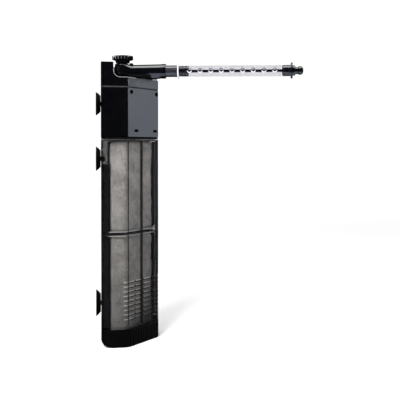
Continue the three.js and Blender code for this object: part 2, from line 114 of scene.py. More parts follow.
def add_softbox(name, place, target, size, watts, colour, only=(), sheen_only=True):
    """A soft lamp seen only as a sheen, on the named pieces if any, or one that lights only matt surfaces."""
    data = bpy.data.lights.new(name, "AREA")
    data.shape = "RECTANGLE"
    data.size, data.size_y = size
    data.energy, data.color = watts, colour
    lamp = bpy.data.objects.new(name, data)
    bpy.context.scene.collection.objects.link(lamp)
    lamp.location = place
    lamp.rotation_euler = (Vector(target) - Vector(place)).to_track_quat("-Z", "Y").to_euler()
    lamp.visible_camera = False
    lamp.visible_glossy, lamp.visible_diffuse = sheen_only, not sheen_only
    if only:
        lit = bpy.data.collections.new(name + "_receivers")
        for piece in bpy.data.objects:
            if piece.name.startswith(tuple(only)):
                lit.objects.link(piece)
        lamp.light_linking.receiver_collection = lit


def add_world():
    """White all round, but dark to mirror rays, so that the black plastic stays black."""
    world = bpy.data.worlds.new("studio")
    bpy.context.scene.world = world
    world.use_nodes = True
    tree = world.node_tree
    path = tree.nodes.new("ShaderNodeLightPath")
    white, near_black = (1, 1, 1, 1), (0.012, 0.013, 0.016, 1)
    shown = blend_colours(tree, path.outputs["Is Glossy Ray"], white, near_black)
    tree.links.new(shown, tree.nodes["Background"].inputs["Color"])


def add_floor():
    """A pale floor that sweeps up into a pale wall behind."""
    front, bend, radius, wall_top, half_width = -2.5, 1.2, 0.8, 3.2, 3.5
    points = [(front, 0)]
    for step in range(13):
        angle = step / 12 * math.pi / 2
        points.append((bend + radius * math.sin(angle), radius * (1 - math.cos(angle))))
    points.append((bend + radius, wall_top))
    bm = bmesh.new()
    rows = [[bm.verts.new((x, y, z)) for x in (-half_width, half_width)] for y, z in points]
    for a, b in zip(rows, rows[1:]):
        bm.faces.new((a[0], a[1], b[1], b[0]))
    floor = new_object("studio_floor", bm)
    floor.data.materials.append(floor_material())
    floor.data.shade_smooth()
    floor.visible_glossy = False


# ---- materials ----
def new_material(name):
    """A material with its node tree, its shader and the object's coordinates."""
    material = bpy.data.materials.new(name)
    material.use_nodes = True
    tree = material.node_tree
    shader = tree.nodes["Principled BSDF"]
    where = tree.nodes.new("ShaderNodeTexCoord").outputs["Object"]
    return material, tree, shader, where


def noise_node(tree, where, scale, detail=4, rough=0.6, stretch=None):
    if stretch:
        mapping = tree.nodes.new("ShaderNodeMapping")
        mapping.inputs["Scale"].default_value = stretch
        tree.links.new(where, mapping.inputs["Vector"])
        where = mapping.outputs["Vector"]
    texture = tree.nodes.new("ShaderNodeTexNoise")
    texture.inputs["Scale"].default_value = scale
    texture.inputs["Detail"].default_value = detail
    texture.inputs["Roughness"].default_value = rough
    tree.links.new(where, texture.inputs["Vector"])
    return texture.outputs["Fac"]


def ramp(tree, factor, stops):
    node = tree.nodes.new("ShaderNodeValToRGB")
    elements = node.color_ramp.elements
    while len(elements) < len(stops):
        elements.new(0.5)
    for element, (position, colour) in zip(elements, stops):
        element.position = position
        element.color = (*colour, 1) if len(colour) == 3 else colour
    tree.links.new(factor, node.inputs["Fac"])
    return node.outputs["Color"]


def map_range(tree, factor, source, target):
    node = tree.nodes.new("ShaderNodeMapRange")
    for socket, value in zip(("From Min", "From Max", "To Min", "To Max"), (*source, *target)):
        node.inputs[socket].default_value = value
    tree.links.new(factor, node.inputs["Value"])
    return node.outputs["Result"]


def spread(tree, factor, lowest, highest):
    """A value that follows a noise between two limits."""
    return map_range(tree, factor, (0.3, 0.7), (lowest, highest))


def feed(tree, socket, value):
    """Links a node's output to the socket, or sets the socket to a plain value."""
    if isinstance(value, bpy.types.NodeSocket):
        tree.links.new(value, socket)
    else:
        socket.default_value = value


def blend_values(tree, share, first, second):
    node = tree.nodes.new("ShaderNodeMix")
    for index, value in enumerate((share, first, second)):
        feed(tree, node.inputs[(0, 2, 3)[index]], value)
    return node.outputs[0]


def blend_colours(tree, share, first, second):
    node = tree.nodes.new("ShaderNodeMix")
    node.data_type = "RGBA"
    for index, value in enumerate((share, first, second)):
        feed(tree, node.inputs[(0, 6, 7)[index]], value)
    return node.outputs[2]


def bump(tree, shader, height, strength, distance):
    node = tree.nodes.new("ShaderNodeBump")
    node.inputs["Strength"].default_value = strength
    node.inputs["Distance"].default_value = distance
    tree.links.new(height, node.inputs["Height"])
    tree.links.new(node.outputs["Normal"], shader.inputs["Normal"])


def moulded(name, dark, light, rough, grain=9000, depth=0.04, specular=0.5):
    """Moulded plastic: fine spark-eroded grain, faint flow marks and uneven gloss."""
    material, tree, shader, where = new_material(name)
    flow = noise_node(tree, where, 38, 3, 0.5, (1, 1, 0.35))
    tree.links.new(ramp(tree, flow, [(0.3, dark), (0.72, light)]), shader.inputs["Base Color"])
    handled = noise_node(tree, where, 120, 5, 0.65)
    tree.links.new(spread(tree, handled, *rough), shader.inputs["Roughness"])
    bump(tree, shader, noise_node(tree, where, grain, 2, 0.5), depth, 0.0001)
    shader.inputs["Specular IOR Level"].default_value = specular
    return material


def tinted(name, dark, light, alpha, rough, specular):
    """Clear plastic whose tint is a share of what shows through each face."""
    material, tree, shader, where = new_material(name)
    flow = noise_node(tree, where, 26, 3, 0.5, (1, 1, 0.2))
    tree.links.new(ramp(tree, flow, [(0.3, dark), (0.7, light)]), shader.inputs["Base Color"])
    wear = noise_node(tree, where, 210, 4, 0.6)
    tree.links.new(spread(tree, wear, *rough), shader.inputs["Roughness"])
    shader.inputs["Alpha"].default_value = alpha
    shader.inputs["Specular IOR Level"].default_value = specular
    return material


def wool_material():
    """Matted polyester fibre: crossed strands over cloudy density, with painted shade that darkens it towards
    its foot and towards one lower corner.
    """
    material, tree, shader, where = new_material("filter_wool")
    cloud = noise_node(tree, where, 55, 6, 0.7)
    strand_a = noise_node(tree, where, 520, 4, 0.8, (0.35, 0.35, 1.6))
    strand_b = noise_node(tree, where, 900, 3, 0.8, (1, 1, 0.2))
    fibre = blend_values(tree, 0.45, blend_values(tree, 0.5, strand_a, strand_b), cloud)
    axes = tree.nodes.new("ShaderNodeSeparateXYZ")
    tree.links.new(where, axes.inputs[0])
    height = map_range(tree, axes.outputs["Z"], (0.03, 0.27), (0, 1))
    # painted shade: a shaded and a lit copy of the fibre's colour, mixed by height
    shaded_fibre = ramp(tree, fibre, [(0.4, (0.18, 0.176, 0.172)), (0.57, (0.42, 0.412, 0.4))])
    lit_fibre = ramp(tree, fibre, [(0.4, (0.48, 0.467, 0.455)), (0.57, (1.0, 0.98, 0.955))])
    # painted shade: darker towards the lower corner on the panel's right
    slope = tree.nodes.new("ShaderNodeVectorMath")
    slope.operation = "DOT_PRODUCT"
    slope.inputs[1].default_value = (1, 0, -0.35)
    tree.links.new(where, slope.inputs[0])
    corner_shade = map_range(tree, slope.outputs["Value"], (-0.006, 0.014), (0, 0.85))
    height_shaded = blend_colours(tree, height, shaded_fibre, lit_fibre)
    colour = blend_colours(tree, corner_shade, height_shaded, (0.05, 0.048, 0.046, 1))
    tree.links.new(colour, shader.inputs["Base Color"])
    shader.inputs["Roughness"].default_value = 0.95
    shader.inputs["Sheen Weight"].default_value = 0.3
    bump(tree, shader, fibre, 0.6, 0.0012)
    return material


def metal(name, dark, light, rough, stretch, scale):
    material, tree, shader, where = new_material(name)
    streak = noise_node(tree, where, scale, 4, 0.6, stretch)
    tree.links.new(ramp(tree, streak, [(0.3, dark), (0.7, light)]), shader.inputs["Base Color"])
    tree.links.new(spread(tree, streak, *rough), shader.inputs["Roughness"])
    shader.inputs["Metallic"].default_value = 1
    bump(tree, shader, streak, 0.15, 0.0002)
    return material


def floor_material():
    material, tree, shader, where = new_material("studio_floor")
    drift = noise_node(tree, where, 1.5, 2, 0.5)
    colour = ramp(tree, drift, [(0.3, (0.93, 0.93, 0.935)), (0.7, (0.96, 0.96, 0.962))])
    tree.links.new(colour, shader.inputs["Base Color"])
    shader.inputs["Roughness"].default_value = 0.8
    return material


# name: (dark, light, (least, most roughness), further settings)
MOULDED = {
    "head_plastic": ((0.0004, 0.0005, 0.001), (0.0008, 0.001, 0.0018), (0.22, 0.28), {"specular": 0.4}),
    "base_plastic": ((0.0012, 0.0012, 0.0016), (0.002, 0.002, 0.0026), (0.4, 0.5), {"specular": 0.1}),
    "rubber": ((0.002, 0.002, 0.002), (0.004, 0.004, 0.004), (0.55, 0.75),
               {"grain": 6000, "depth": 0.1, "specular": 0.3}),
    "frame_plastic": ((0.012, 0.012, 0.014), (0.02, 0.02, 0.023), (0.45, 0.6), {}),
    # painted sheen: a lighter grey for the basket's back post, for the sheen of the smoke wall over the dark
    # post
    "post_plastic": ((0.1, 0.098, 0.096), (0.13, 0.127, 0.124), (0.4, 0.5), {"grain": 5000, "depth": 0.02}),
    "impeller_plastic": ((0.5, 0.52, 0.55), (0.62, 0.64, 0.66), (0.35, 0.5), {}),
    "ceramic_shaft": ((0.8, 0.78, 0.73), (0.86, 0.84, 0.8), (0.15, 0.25), {}),
}
POLISHED = {
    "gloss_black": ((0.001, 0.0012, 0.0018), (0.0018, 0.002, 0.003), (0.1, 0.16)),
    "spigot_plastic": ((0.014, 0.013, 0.016), (0.022, 0.02, 0.024), (0.16, 0.24)),
    # painted highlight: the colour of the light line at the recess edge
    "bright_edge": ((0.27, 0.27, 0.28), (0.34, 0.34, 0.35), (0.15, 0.25)),
    # painted highlight: the light strips on the knob's flutes
    "worn_edge": ((0.1, 0.1, 0.11), (0.15, 0.15, 0.16), (0.2, 0.3)),
    # painted highlight: the colour of the light line along the cover's seam
    "dull_edge": ((0.13, 0.13, 0.14), (0.18, 0.18, 0.19), (0.2, 0.3)),
}
# name: (dark, light, alpha, (least, most roughness), specular)
TINTED = {
    "smoke_plastic": ((0.003, 0.003, 0.004), (0.005, 0.005, 0.006), 0.33, (0.14, 0.2), 0.2),
    # painted shade: the dark sheets inside the canister's walls
    "smoke_back": ((0.003, 0.003, 0.004), (0.006, 0.006, 0.007), 0.8, (0.2, 0.3), 0.2),
    "clear_plastic": ((0.02, 0.02, 0.05), (0.03, 0.03, 0.07), 0.03, (0.05, 0.1), 0.3),
    "bar_haze": ((0.1, 0.11, 0.22), (0.16, 0.18, 0.3), 0.2, (0.3, 0.4), 0.2),
    # painted highlight: the pale rings under the jets and the pale end wall of the sleeve
    "frosted_plastic": ((0.78, 0.8, 0.86), (0.88, 0.9, 0.94), 0.85, (0.2, 0.3), 0.5),
    "rim_plastic": ((0.75, 0.75, 0.76), (0.86, 0.86, 0.88), 0.9, (0.2, 0.32), 0.5),
}
# name: (dark, light, (least, most roughness), stretch, scale)
METALS = {
    "screw_steel": ((0.012, 0.012, 0.014), (0.03, 0.03, 0.034), (0.35, 0.5), None, 900),
    "lamination_steel": ((0.3, 0.3, 0.31), (0.5, 0.5, 0.52), (0.35, 0.5), (1, 1, 30), 60),
    "copper_wire": ((0.4, 0.14, 0.05), (0.7, 0.3, 0.12), (0.3, 0.45), (1, 1, 12), 200),
    "ferrite": ((0.03, 0.03, 0.033), (0.07, 0.07, 0.075), (0.5, 0.65), None, 900),
}
MATERIALS = {"filter_wool": wool_material()}
for name, (dark, light, rough, settings) in MOULDED.items():
    MATERIALS[name] = moulded(name, dark, light, rough, **settings)
for name, (dark, light, rough) in POLISHED.items():
    MATERIALS[name] = moulded(name, dark, light, rough, grain=5000, depth=0.01)
for name, settings in TINTED.items():
    MATERIALS[name] = tinted(name, *settings)
for name, settings in METALS.items():
    MATERIALS[name] = metal(name, *settings)


# ---- meshes ----
def new_object(name, bm):
    bmesh.ops.recalc_face_normals(bm, faces=bm.faces)
    mesh = bpy.data.meshes.new(name)
    bm.to_mesh(mesh)
    bm.free()
    piece = bpy.data.objects.new(name, mesh)
    bpy.context.scene.collection.objects.link(piece)
    return piece


def apply_modifiers(piece):
    graph = bpy.context.evaluated_depsgraph_get()
    mesh = bpy.data.meshes.new_from_object(piece.evaluated_get(graph))
    piece.modifiers.clear()
    piece.data = mesh


def cut_with(piece, cutter, operation="DIFFERENCE"):
    modifier = piece.modifiers.new("cut", "BOOLEAN")
    modifier.object, modifier.operation, modifier.solver = cutter, operation, "EXACT"
    apply_modifiers(piece)
    bpy.data.objects.remove(cutter)
    return piece


def shade(piece, angle):
    piece.data.shade_smooth()
    piece.data.set_sharp_from_angle(angle=math.radians(angle))


def soften(piece, width, segments=2, angle=35.0):
    """Rounds every edge sharper than the angle, and shades what is left smooth."""
    bm = bmesh.new()
    bm.from_mesh(piece.data)
    bmesh.ops.remove_doubles(bm, verts=bm.verts, dist=1e-6)
    bmesh.ops.dissolve_limit(bm, angle_limit=math.radians(0.5), verts=bm.verts, edges=bm.edges)
    bm.to_mesh(piece.data)
    bm.free()
    if width:
        modifier = piece.modifiers.new("soften", "BEVEL")
        modifier.width, modifier.segments = width, segments
        modifier.limit_method, modifier.angle_limit = "ANGLE", math.radians(angle)
        modifier.use_clamp_overlap = True
        modifier.miter_outer = "MITER_ARC"
        apply_modifiers(piece)
    shade(piece, angle)
    if width:
        modifier = piece.modifiers.new("flats", "WEIGHTED_NORMAL")
        modifier.keep_sharp, modifier.weight = True, 90
        apply_modifiers(piece)
    return piece


def place(piece, body, slot, *nodes, material=None):
    piece.data.materials.clear()
    piece.data.materials.append(MATERIALS[material or slot])
    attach(piece, body)
    if nodes:
        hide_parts(*nodes)
    return piece


def outline(distances, radii, steps=10):
    """The five-sided plan, anticlockwise from the left wall; radii[i] rounds the corner after side i."""
    angles = [180, 270, 315, 360, 450]
    points = []
    for i in range(5):
        after = (i + 1) % 5
        start = math.radians(angles[i])
        turn = math.radians((angles[after] - angles[i]) % 360)
        a, b = distances[i] - radii[i], distances[after] - radii[i]
        ca, sa, cb, sb = math.cos(start), math.sin(start), math.cos(start + turn), math.sin(start + turn)
        det = ca * sb - sa * cb
        x, y = (a * sb - b * sa) / det, (b * ca - a * cb) / det
        for step in range(steps + 1):
            angle = start + turn * step / steps
            points.append((x + radii[i] * math.cos(angle), y + radii[i] * math.sin(angle)))
    return points


SIDES = [HALF, HALF, PANEL_AT, HALF, HALF]
HEAD_RADII = [r * MM for r in (2.5, 1.2, 1.2, 2.5, 4)]
CANISTER_RADII = [r * MM for r in (8, 1.2, 1.2, 8, 8)]
BASE_RADII = [r * MM for r in (10, 14, 2, 10, 8)]


def inset(amount, radii):
    return outline([side - amount for side in SIDES], [max(r - amount, 0.5 * MM) for r in radii])


def stitch(bm, rows):
    """Faces between each closed row of vertices and the next."""
    count = len(rows[0])
    for a, b in zip(rows, rows[1:]):
        for i in range(count):
            j = (i + 1) % count
            bm.faces.new((a[i], a[j], b[j], b[i]))


def loft(name, rings):
    """A closed skin through (points, z) rings of one count."""
    bm = bmesh.new()
    rows = [[bm.verts.new((x, y, z)) for x, y in points] for points, z in rings]
    stitch(bm, rows)
    bm.faces.new(list(reversed(rows[0])))
    bm.faces.new(rows[-1])
    return new_object(name, bm)


def prism(name, points, bottom, top):
    return loft(name, [(points, bottom), (points, top)])


def boxes(name, corners, turn=None):
    """Several boxes in one object, each from its lowest to its highest corner, turned together."""
    bm = bmesh.new()
    for lowest, highest in corners:
        size = Vector(highest) - Vector(lowest)
        centre = (Vector(highest) + Vector(lowest)) / 2
        bmesh.ops.create_cube(bm, matrix=Matrix.Translation(centre) @ Matrix.Diagonal((*size, 1)))
    if turn:
        bmesh.ops.transform(bm, matrix=turn, verts=bm.verts)
    return new_object(name, bm)


def lathe(name, profile, segments=64, matrix=None, ring=False):
    """A solid of revolution about Z; the profile is (radius, height) points, closed on itself if ring."""
    bm = bmesh.new()
    rows = []
    for radius, height in profile:
        if radius < 1e-7:
            rows.append([bm.verts.new((0, 0, height))])
            continue
        rows.append([
            bm.verts.new((radius * math.cos(2 * math.pi * i / segments),
                          radius * math.sin(2 * math.pi * i / segments), height))
            for i in range(segments)
        ])
    pairs = list(zip(rows, rows[1:]))
    if ring:
        pairs.append((rows[-1], rows[0]))
    for a, b in pairs:
        for i in range(segments):
            j = (i + 1) % segments
            corners = [a[i % len(a)], a[j % len(a)], b[j % len(b)], b[i % len(b)]]
            corners = list(dict.fromkeys(corners))
            if len(corners) > 2:
                bm.faces.new(corners)
    if matrix:
        bmesh.ops.transform(bm, matrix=matrix, verts=bm.verts)
    return new_object(name, bm)


def rod(radius, start, end, turn, segments=64):
    """A plain cylinder along the Z axis of a matrix."""
    return lathe("rod", [(0, start), (radius, start), (radius, end), (0, end)], segments, turn)


def mm(points):
    return [(a * MM, b * MM) for a, b in points]


ON_DIAGONAL = Matrix.Rotation(math.radians(-45), 4, "Z")
AT_SWIVEL = Matrix.Translation(SWIVEL) @ Matrix.Rotation(BAR_YAW, 4, "Z")
ALONG_BAR = AT_SWIVEL @ Matrix.Translation((0, 0, BAR_Z)) @ Matrix.Rotation(math.pi / 2, 4, "Y")


def onto_panel(along, z):
    return ON_DIAGONAL @ Matrix.Translation((PANEL_AT, along, z)) @ Matrix.Rotation(math.pi / 2, 4, "Y")


# ---- base ----
def build_base():
    """A ribbed foot whose lower edge is rounded more on the wall sides, hollowed in two steps."""
    deepest, steps = 11 * MM, 18
    fillets = [deepest, 3 * MM, 0.8 * MM, 3 * MM, deepest]
    levels = [deepest * (1 - math.cos(math.pi / 2 * k / steps)) for k in range(steps + 1)]
    rings = []
    for z in levels + [BASE_TOP]:
        pulled = [r - math.sqrt(r * r - (r - z) ** 2) if z < r else 0 for r in fillets]
        rings.append((outline([d - p for d, p in zip(SIDES, pulled)], BASE_RADII), z))
    piece = loft("base_shell", rings)
    cut_with(piece, prism("hollow", inset(6.4 * MM, BASE_RADII), 3 * MM, 8 * MM))
    cut_with(piece, prism("upper_hollow", inset(2.6 * MM, BASE_RADII), 7 * MM, BASE_TOP + 5 * MM))
    pitch, half_width, deep, foot, head = 5.5 * MM, 1.2 * MM, 1 * MM, 1.8 * MM, 21.4 * MM
    grooves = []
    for k in range(-5, 6):
        along = k * pitch
        grooves.append(((PANEL_AT - deep, along - half_width, foot),
                        (PANEL_AT + 3 * MM, along + half_width, head)))
    cut_with(piece, boxes("grooves", grooves, ON_DIAGONAL))
    place(soften(piece, 0.35 * MM, 2, 40), "canister", "base_plastic", "base")


# ---- canister ----
SLOT_TOP, SLOT_PITCH, SLOT_HEIGHT, SLOT_ROWS = 88.7 * MM, 6.31 * MM, 2 * MM, 9


def slot_boxes():
    """The intake slots: (boxes in the diagonal frame, boxes in the plan's own frame)."""
    edges = [along * MM for along in (-18, -16, -1, 1, 15.2, 17.2)]
    edges = [-PANEL_HALF - 0.4 * MM, *edges, PANEL_HALF + 0.4 * MM]
    deep = 3.4 * MM
    corner = FACE_WIDTH - HALF
    turned, straight = [], []
    for row in range(SLOT_ROWS):
        z0 = SLOT_TOP - row * SLOT_PITCH - SLOT_HEIGHT / 2
        z1 = z0 + SLOT_HEIGHT
        for a, b in zip(edges[::2], edges[1::2]):
            turned.append(((PANEL_AT - deep, a, z0), (PANEL_AT + 2 * MM, b, z1)))
        straight.append(((corner - 6 * MM, -HALF - MM, z0), (corner + 0.6 * MM, deep - HALF, z1)))
        straight.append(((HALF - deep, -corner - 0.6 * MM, z0), (HALF + MM, -corner + 6 * MM, z1)))
    return turned, straight


def wall_holes(z):
    """Two cutters at one height, for the stems of the left and the back suction cup."""
    radius, reach = 3.5 * MM, 5 * MM
    into_left = Matrix.Translation((-HALF, 0, z)) @ Matrix.Rotation(math.pi / 2, 4, "Y")
    into_back = Matrix.Translation((0, HALF, z)) @ Matrix.Rotation(math.pi / 2, 4, "X")
    return [rod(radius, -reach, reach, turn, 32) for turn in (into_left, into_back)]


# The canister's wall, and how far its neck and its mouth are set in.
WALL, NECK, MOUTH = 2.2 * MM, 2.9 * MM, 4.9 * MM


def cut_cup_holes(piece):
    for level in ("middle", "lower"):
        for hole in wall_holes(middle(f"left_cup_{level}").z):
            cut_with(piece, hole)


def build_canister():
    """The smoke-clear shell with its neck, its closed plug in the base, its slots and its cup holes."""
    edge = 0.8 * MM
    piece = loft("canister_shell", [
        (inset(0, CANISTER_RADII), BASE_TOP), (inset(0, CANISTER_RADII), SHOULDER - edge),
        (inset(edge, CANISTER_RADII), SHOULDER),
    ])
    cut_with(piece, prism("neck", inset(NECK, CANISTER_RADII), SHOULDER - 2 * MM, NECK_TOP), "UNION")
    cut_with(piece, prism("plug", inset(NECK, BASE_RADII), 14 * MM, BASE_TOP + MM), "UNION")
    cut_with(piece, prism("hollow", inset(WALL, CANISTER_RADII), BASE_TOP + 2.3 * MM, SHOULDER - 2 * MM))
    cut_with(piece, prism("well", inset(MOUTH, CANISTER_RADII), 16 * MM, BASE_TOP + 3.3 * MM))
    cut_with(piece, prism("mouth", inset(MOUTH, CANISTER_RADII), SHOULDER - 3 * MM, NECK_TOP + MM))
    turned, straight = slot_boxes()
    cut_with(piece, boxes("slots", turned, ON_DIAGONAL))
    cut_with(piece, boxes("slots", straight))
    cut_cup_holes(piece)
    place(soften(piece, 0.3 * MM, 2, 40), "canister", "smoke_plastic", "canister")
    build_slot_shades(turned)
    build_web()
    build_shade_liners()
    build_stiffeners()


def build_slot_shades(slots):
    """A dark strip hanging inside the panel under each slot: painted shade for the dark inside seen below
    each slot.
    """
    hang, thick, gap, margin = 1.5 * MM, 0.9 * MM, 0.15 * MM, PANEL_HALF - 1.5 * MM
    shade_strips = []
    for (_, start, z0), (_, end, _) in slots:
        shade_strips.append(((PANEL_AT - WALL - gap - thick, max(start, -margin), z0 - hang),
                     (PANEL_AT - WALL - gap, min(end, margin), z0 - gap)))
    piece = boxes("canister_louvres", shade_strips, ON_DIAGONAL)
    place(soften(piece, 0.1 * MM, 1), "canister", "smoke_plastic", material="frame_plastic")


def build_web():
    """The upright web behind the middle of the panel."""
    corners = ((19.7 * MM, -0.7 * MM, 26 * MM), (PANEL_AT - WALL, 0.7 * MM, SHOULDER - 3 * MM))
    piece = boxes("canister_web", [corners], ON_DIAGONAL)
    place(soften(piece, 0.2 * MM), "canister", "smoke_plastic", material="frame_plastic")


def build_shade_liners():
    """Dark sheets inside the two pane walls, the side wall and the corners: painted shade for the darkness
    seen through the walls behind and beside the wool.
    """
    near, far, reach = HALF - 1.9 * MM, HALF - 0.2 * MM, 31 * MM
    bottom, top, above_slots = BASE_TOP + 1.3 * MM, SHOULDER - 2.1 * MM, SLOT_TOP + 3 * MM
    corner = boxes("canister_corner_liner", [((-37.8 * MM, 33.2 * MM, 27 * MM), (-30 * MM, 34.4 * MM, top))])
    place(soften(corner, 0.08 * MM, 1), "canister", "smoke_plastic")
    edge = prism("canister_edge_liner", inset(0.2 * MM, CANISTER_RADII), bottom, top)
    cut_with(edge, prism("inner", inset(1.9 * MM, CANISTER_RADII), bottom - MM, top + MM))
    cut_with(edge, boxes("strip", [((-HALF, -HALF, 0), (-37.7 * MM, -reach, 0.3))]), "INTERSECT")
    place(soften(edge, 0), "canister", "smoke_plastic", material="smoke_back")
    liners = [
        ((-far, -reach, bottom), (-near, reach, top)),
        ((-reach, near, bottom), (reach, far, top)),
        ((near, 5.6 * MM, above_slots), (far, reach, top)),
        ((near, 10.7 * MM, bottom), (far, reach, above_slots)),
        ((near, reach + 0.2 * MM, bottom), (far, 37.9 * MM, top)),
    ]
    for k, liner in enumerate(liners):
        piece = boxes(f"canister_liner_{k}", [liner])
        cut_cup_holes(piece)
        place(soften(piece, 0.08 * MM, 1), "canister", "smoke_plastic", material="smoke_back")


def build_stiffeners():
    """The ring under the shoulder, and a rib at each edge of the panel."""
    lowest, highest = SHOULDER - 1.9 * MM, SHOULDER - 0.9 * MM
    core = prism("canister_shoulder_core", inset(0.3 * MM, CANISTER_RADII), lowest, highest)
    cut_with(core, prism("inner", inset(MOUTH, CANISTER_RADII), SHOULDER - 3 * MM, SHOULDER + MM))
    place(soften(core, 0.1 * MM, 1), "canister", "smoke_plastic", material="frame_plastic")
    half_x, half_y = 0.6 * MM, 0.7 * MM
    for sign in (-1, 1):
        x, y = PANEL_AT - 1.35 * MM, sign * (PANEL_HALF - 1.6 * MM)
        rib = ((x - half_x, y - half_y, 30 * MM), (x + half_x, y + half_y, SHOULDER - 3 * MM))
        piece = boxes("canister_corner", [rib], ON_DIAGONAL)
        place(soften(piece, 0.3 * MM), "canister", "smoke_plastic", material="frame_plastic")


# ---- filter media and baskets ----
def media_outline(wall, front, panel, radius=2 * MM):
    return outline([d * MM for d in (wall, front, panel, front, wall)], [radius] * 5, 6)


def build_basket(node, rim_low):
    """A window-barred floor, two walls along the panes with folded flanges, and for the lower one a rim."""
    floor = low(node).z
    thick = 1.5 * MM
    top = rim_low + thick if rim_low else 252 * MM
    wall_top = rim_low or top
    post_top = rim_low or 280 * MM
    lift = 0 if rim_low else 3.6 * MM
    plate_top = floor + lift + thick
    flange_low = 27.2 * MM if rim_low else plate_top
    half, reach = 5 * MM, 9 * MM
    windows = []
    for x in (-19 * MM, -3 * MM, 13 * MM):
        for y in (-9 * MM, 7 * MM, 21 * MM):
            windows.append(((x - half, y - half, floor - reach), (x + half, y + half, floor + reach)))
    plate = prism(node + "_floor", media_outline(31.1, 34.6, 19.3), floor + lift, plate_top)
    cut_with(plate, boxes("windows", windows))
    place(soften(plate, 0.3 * MM), "canister", "frame_plastic", node,
          material="frame_plastic" if rim_low else "rim_plastic")
    outer, inner, front, flange_end = 31.1 * MM, 29.3 * MM, 34.6 * MM, 37.7 * MM
    left = ((-outer, -front, floor), (-inner, outer, wall_top))
    back = ((-outer, inner, floor), (front, outer, wall_top))
    flange = ((-flange_end, -front, flange_low), (-inner, -33 * MM, wall_top - 3 * MM))
    post = ((32.6 * MM, inner, flange_low), (flange_end, outer, post_top))
    # the back post's lighter grey is a painted sheen
    sides = ((left, flange, "frame_plastic"), (back, post, "post_plastic"))
    for k, (wall, fold, look) in enumerate(sides):
        piece = boxes(f"{node}_wall_{k}", [wall])
        place(soften(piece, 0.4 * MM), "canister", "frame_plastic")
        piece = boxes(f"{node}_flange_{k}", [fold])
        place(soften(piece, 0.4 * MM), "canister", "frame_plastic", material=look)
    lowest, highest = floor + 0.2 * MM, flange_low + 0.1 * MM
    if rim_low:
        lowest, highest = wall_top - 3.1 * MM, wall_top + 1.4 * MM
    tongue = ((-flange_end, -34.5 * MM, lowest), (-31.3 * MM, -33.1 * MM, highest))
    place(soften(boxes(node + "_tongue", [tongue]), 0.2 * MM), "canister", "frame_plastic")
    if rim_low:
        rim = prism(node + "_rim", media_outline(31.1, 34.6, 19.3), rim_low, top)
        cut_with(rim, prism("inner", media_outline(28.9, 32.2, 17), rim_low - MM, top + MM))
        place(soften(rim, 0.3 * MM), "canister", "frame_plastic", material="rim_plastic")


def wool_plan(pull):
    return outline([d * MM - pull for d in (28.6, 31.9, 16.7, 31.9, 28.6)], [4 * MM] * 5, 4)


def build_wool(node):
    """A packed block of fibre: rounded ends, faces pushed about by clouds of noise, ragged on the right."""
    z0, z1 = low(node).z, high(node).z
    grain, rounding, most_pull = 2.4 * MM, 5 * MM, 1.6 * MM
    plan = wool_plan(most_pull)
    counts = [max(1, round(math.dist(a, b) / grain)) for a, b in zip(plan, plan[1:] + plan[:1])]
    rows = int((z1 - z0) / grain)
    rings = []
    for k in range(rows + 1):
        z = z0 + (z1 - z0) * k / rows
        end = min(z - z0, z1 - z)
        plan = wool_plan(most_pull * (1 - min(end / rounding, 1)) ** 2)
        points = []
        for (x, y), (next_x, next_y), parts in zip(plan, plan[1:] + plan[:1], counts):
            for part in range(parts):
                share = part / parts
                points.append((x + (next_x - x) * share, y + (next_y - y) * share))
        rings.append((points, z))
    piece = loft(node + "_fibre", rings)
    foot = rings[0][0]
    axis = Vector((sum(x for x, y in foot), sum(y for x, y in foot), 0)) / len(foot)
    for vertex in piece.data.vertices:
        inward = Vector((axis.x - vertex.co.x, axis.y - vertex.co.y, 0)).normalized()
        cloud = noise.noise(vertex.co * 90) + 0.8 * noise.noise(vertex.co * 310)
        ragged = 0
        if vertex.co.x > 22 * MM:
            ragged = 3.5 * max(noise.noise(vertex.co * 420) + 0.5 * noise.noise(vertex.co * 150), 0)
        loose = 0.2 if vertex.co.x < -24 * MM else 1.1
        vertex.co += inward * max(loose + cloud + ragged, 0.1) * MM
    piece.data.shade_smooth()
    place(piece, "canister", "filter_wool", node)


# ---- head ----
def build_housing():
    wall, deck_low, deck_top = 2.5 * MM, 302 * MM, 305 * MM
    edge = 1 * MM
    piece = loft("pump_housing_shell", [
        (inset(0.4 * MM, HEAD_RADII), HOUSING_LOW), (inset(0, HEAD_RADII), HOUSING_LOW + 0.4 * MM),
        (inset(0, HEAD_RADII), HOUSING_TOP - edge), (inset(edge, HEAD_RADII), HOUSING_TOP),
    ])
    cut_with(piece, prism("lower", inset(wall, HEAD_RADII), HOUSING_LOW - MM, deck_low))
    cut_with(piece, prism("upper", inset(wall, HEAD_RADII), deck_top, HOUSING_TOP + MM))
    across, up, window_z = 3.7 * MM, 1.7 * MM, 294.7 * MM
    windows = []
    for along in (-14.9 * MM, 24.6 * MM):
        windows.append(((PANEL_AT - 4 * MM, along - across, window_z - up),
                        (PANEL_AT + MM, along + across, window_z + up)))
    cut_with(piece, boxes("windows", windows, ON_DIAGONAL))
    for name in ("left", "right"):
        along, z = screw_place(name)
        bore = [(0, -12), (1.7, -12), (1.7, -1.5), (3.1, -1.5), (3.1, 1), (0, 1)]
        cut_with(piece, lathe("bore", mm(bore), 32, onto_panel(along, z)))
    for hole in wall_holes(middle("left_cup_upper").z):
        cut_with(piece, hole)
    rotor = middle("rotor_shaft")
    for spot, radius in ((SWIVEL, 7.7 * MM), (Vector((rotor.x, rotor.y, 0)), 9.2 * MM)):
        cut_with(piece, rod(radius, deck_low - MM, deck_top + MM, Matrix.Translation(spot), 48))
    place(soften(piece, 0.3 * MM, 2, 40), "head", "head_plastic", "pump_housing")


def screw_place(name):
    """(distance along the panel, height) of a cover screw."""
    centre = ON_DIAGONAL.inverted() @ middle(f"cover_screw_{name}")
    return centre.y, centre.z


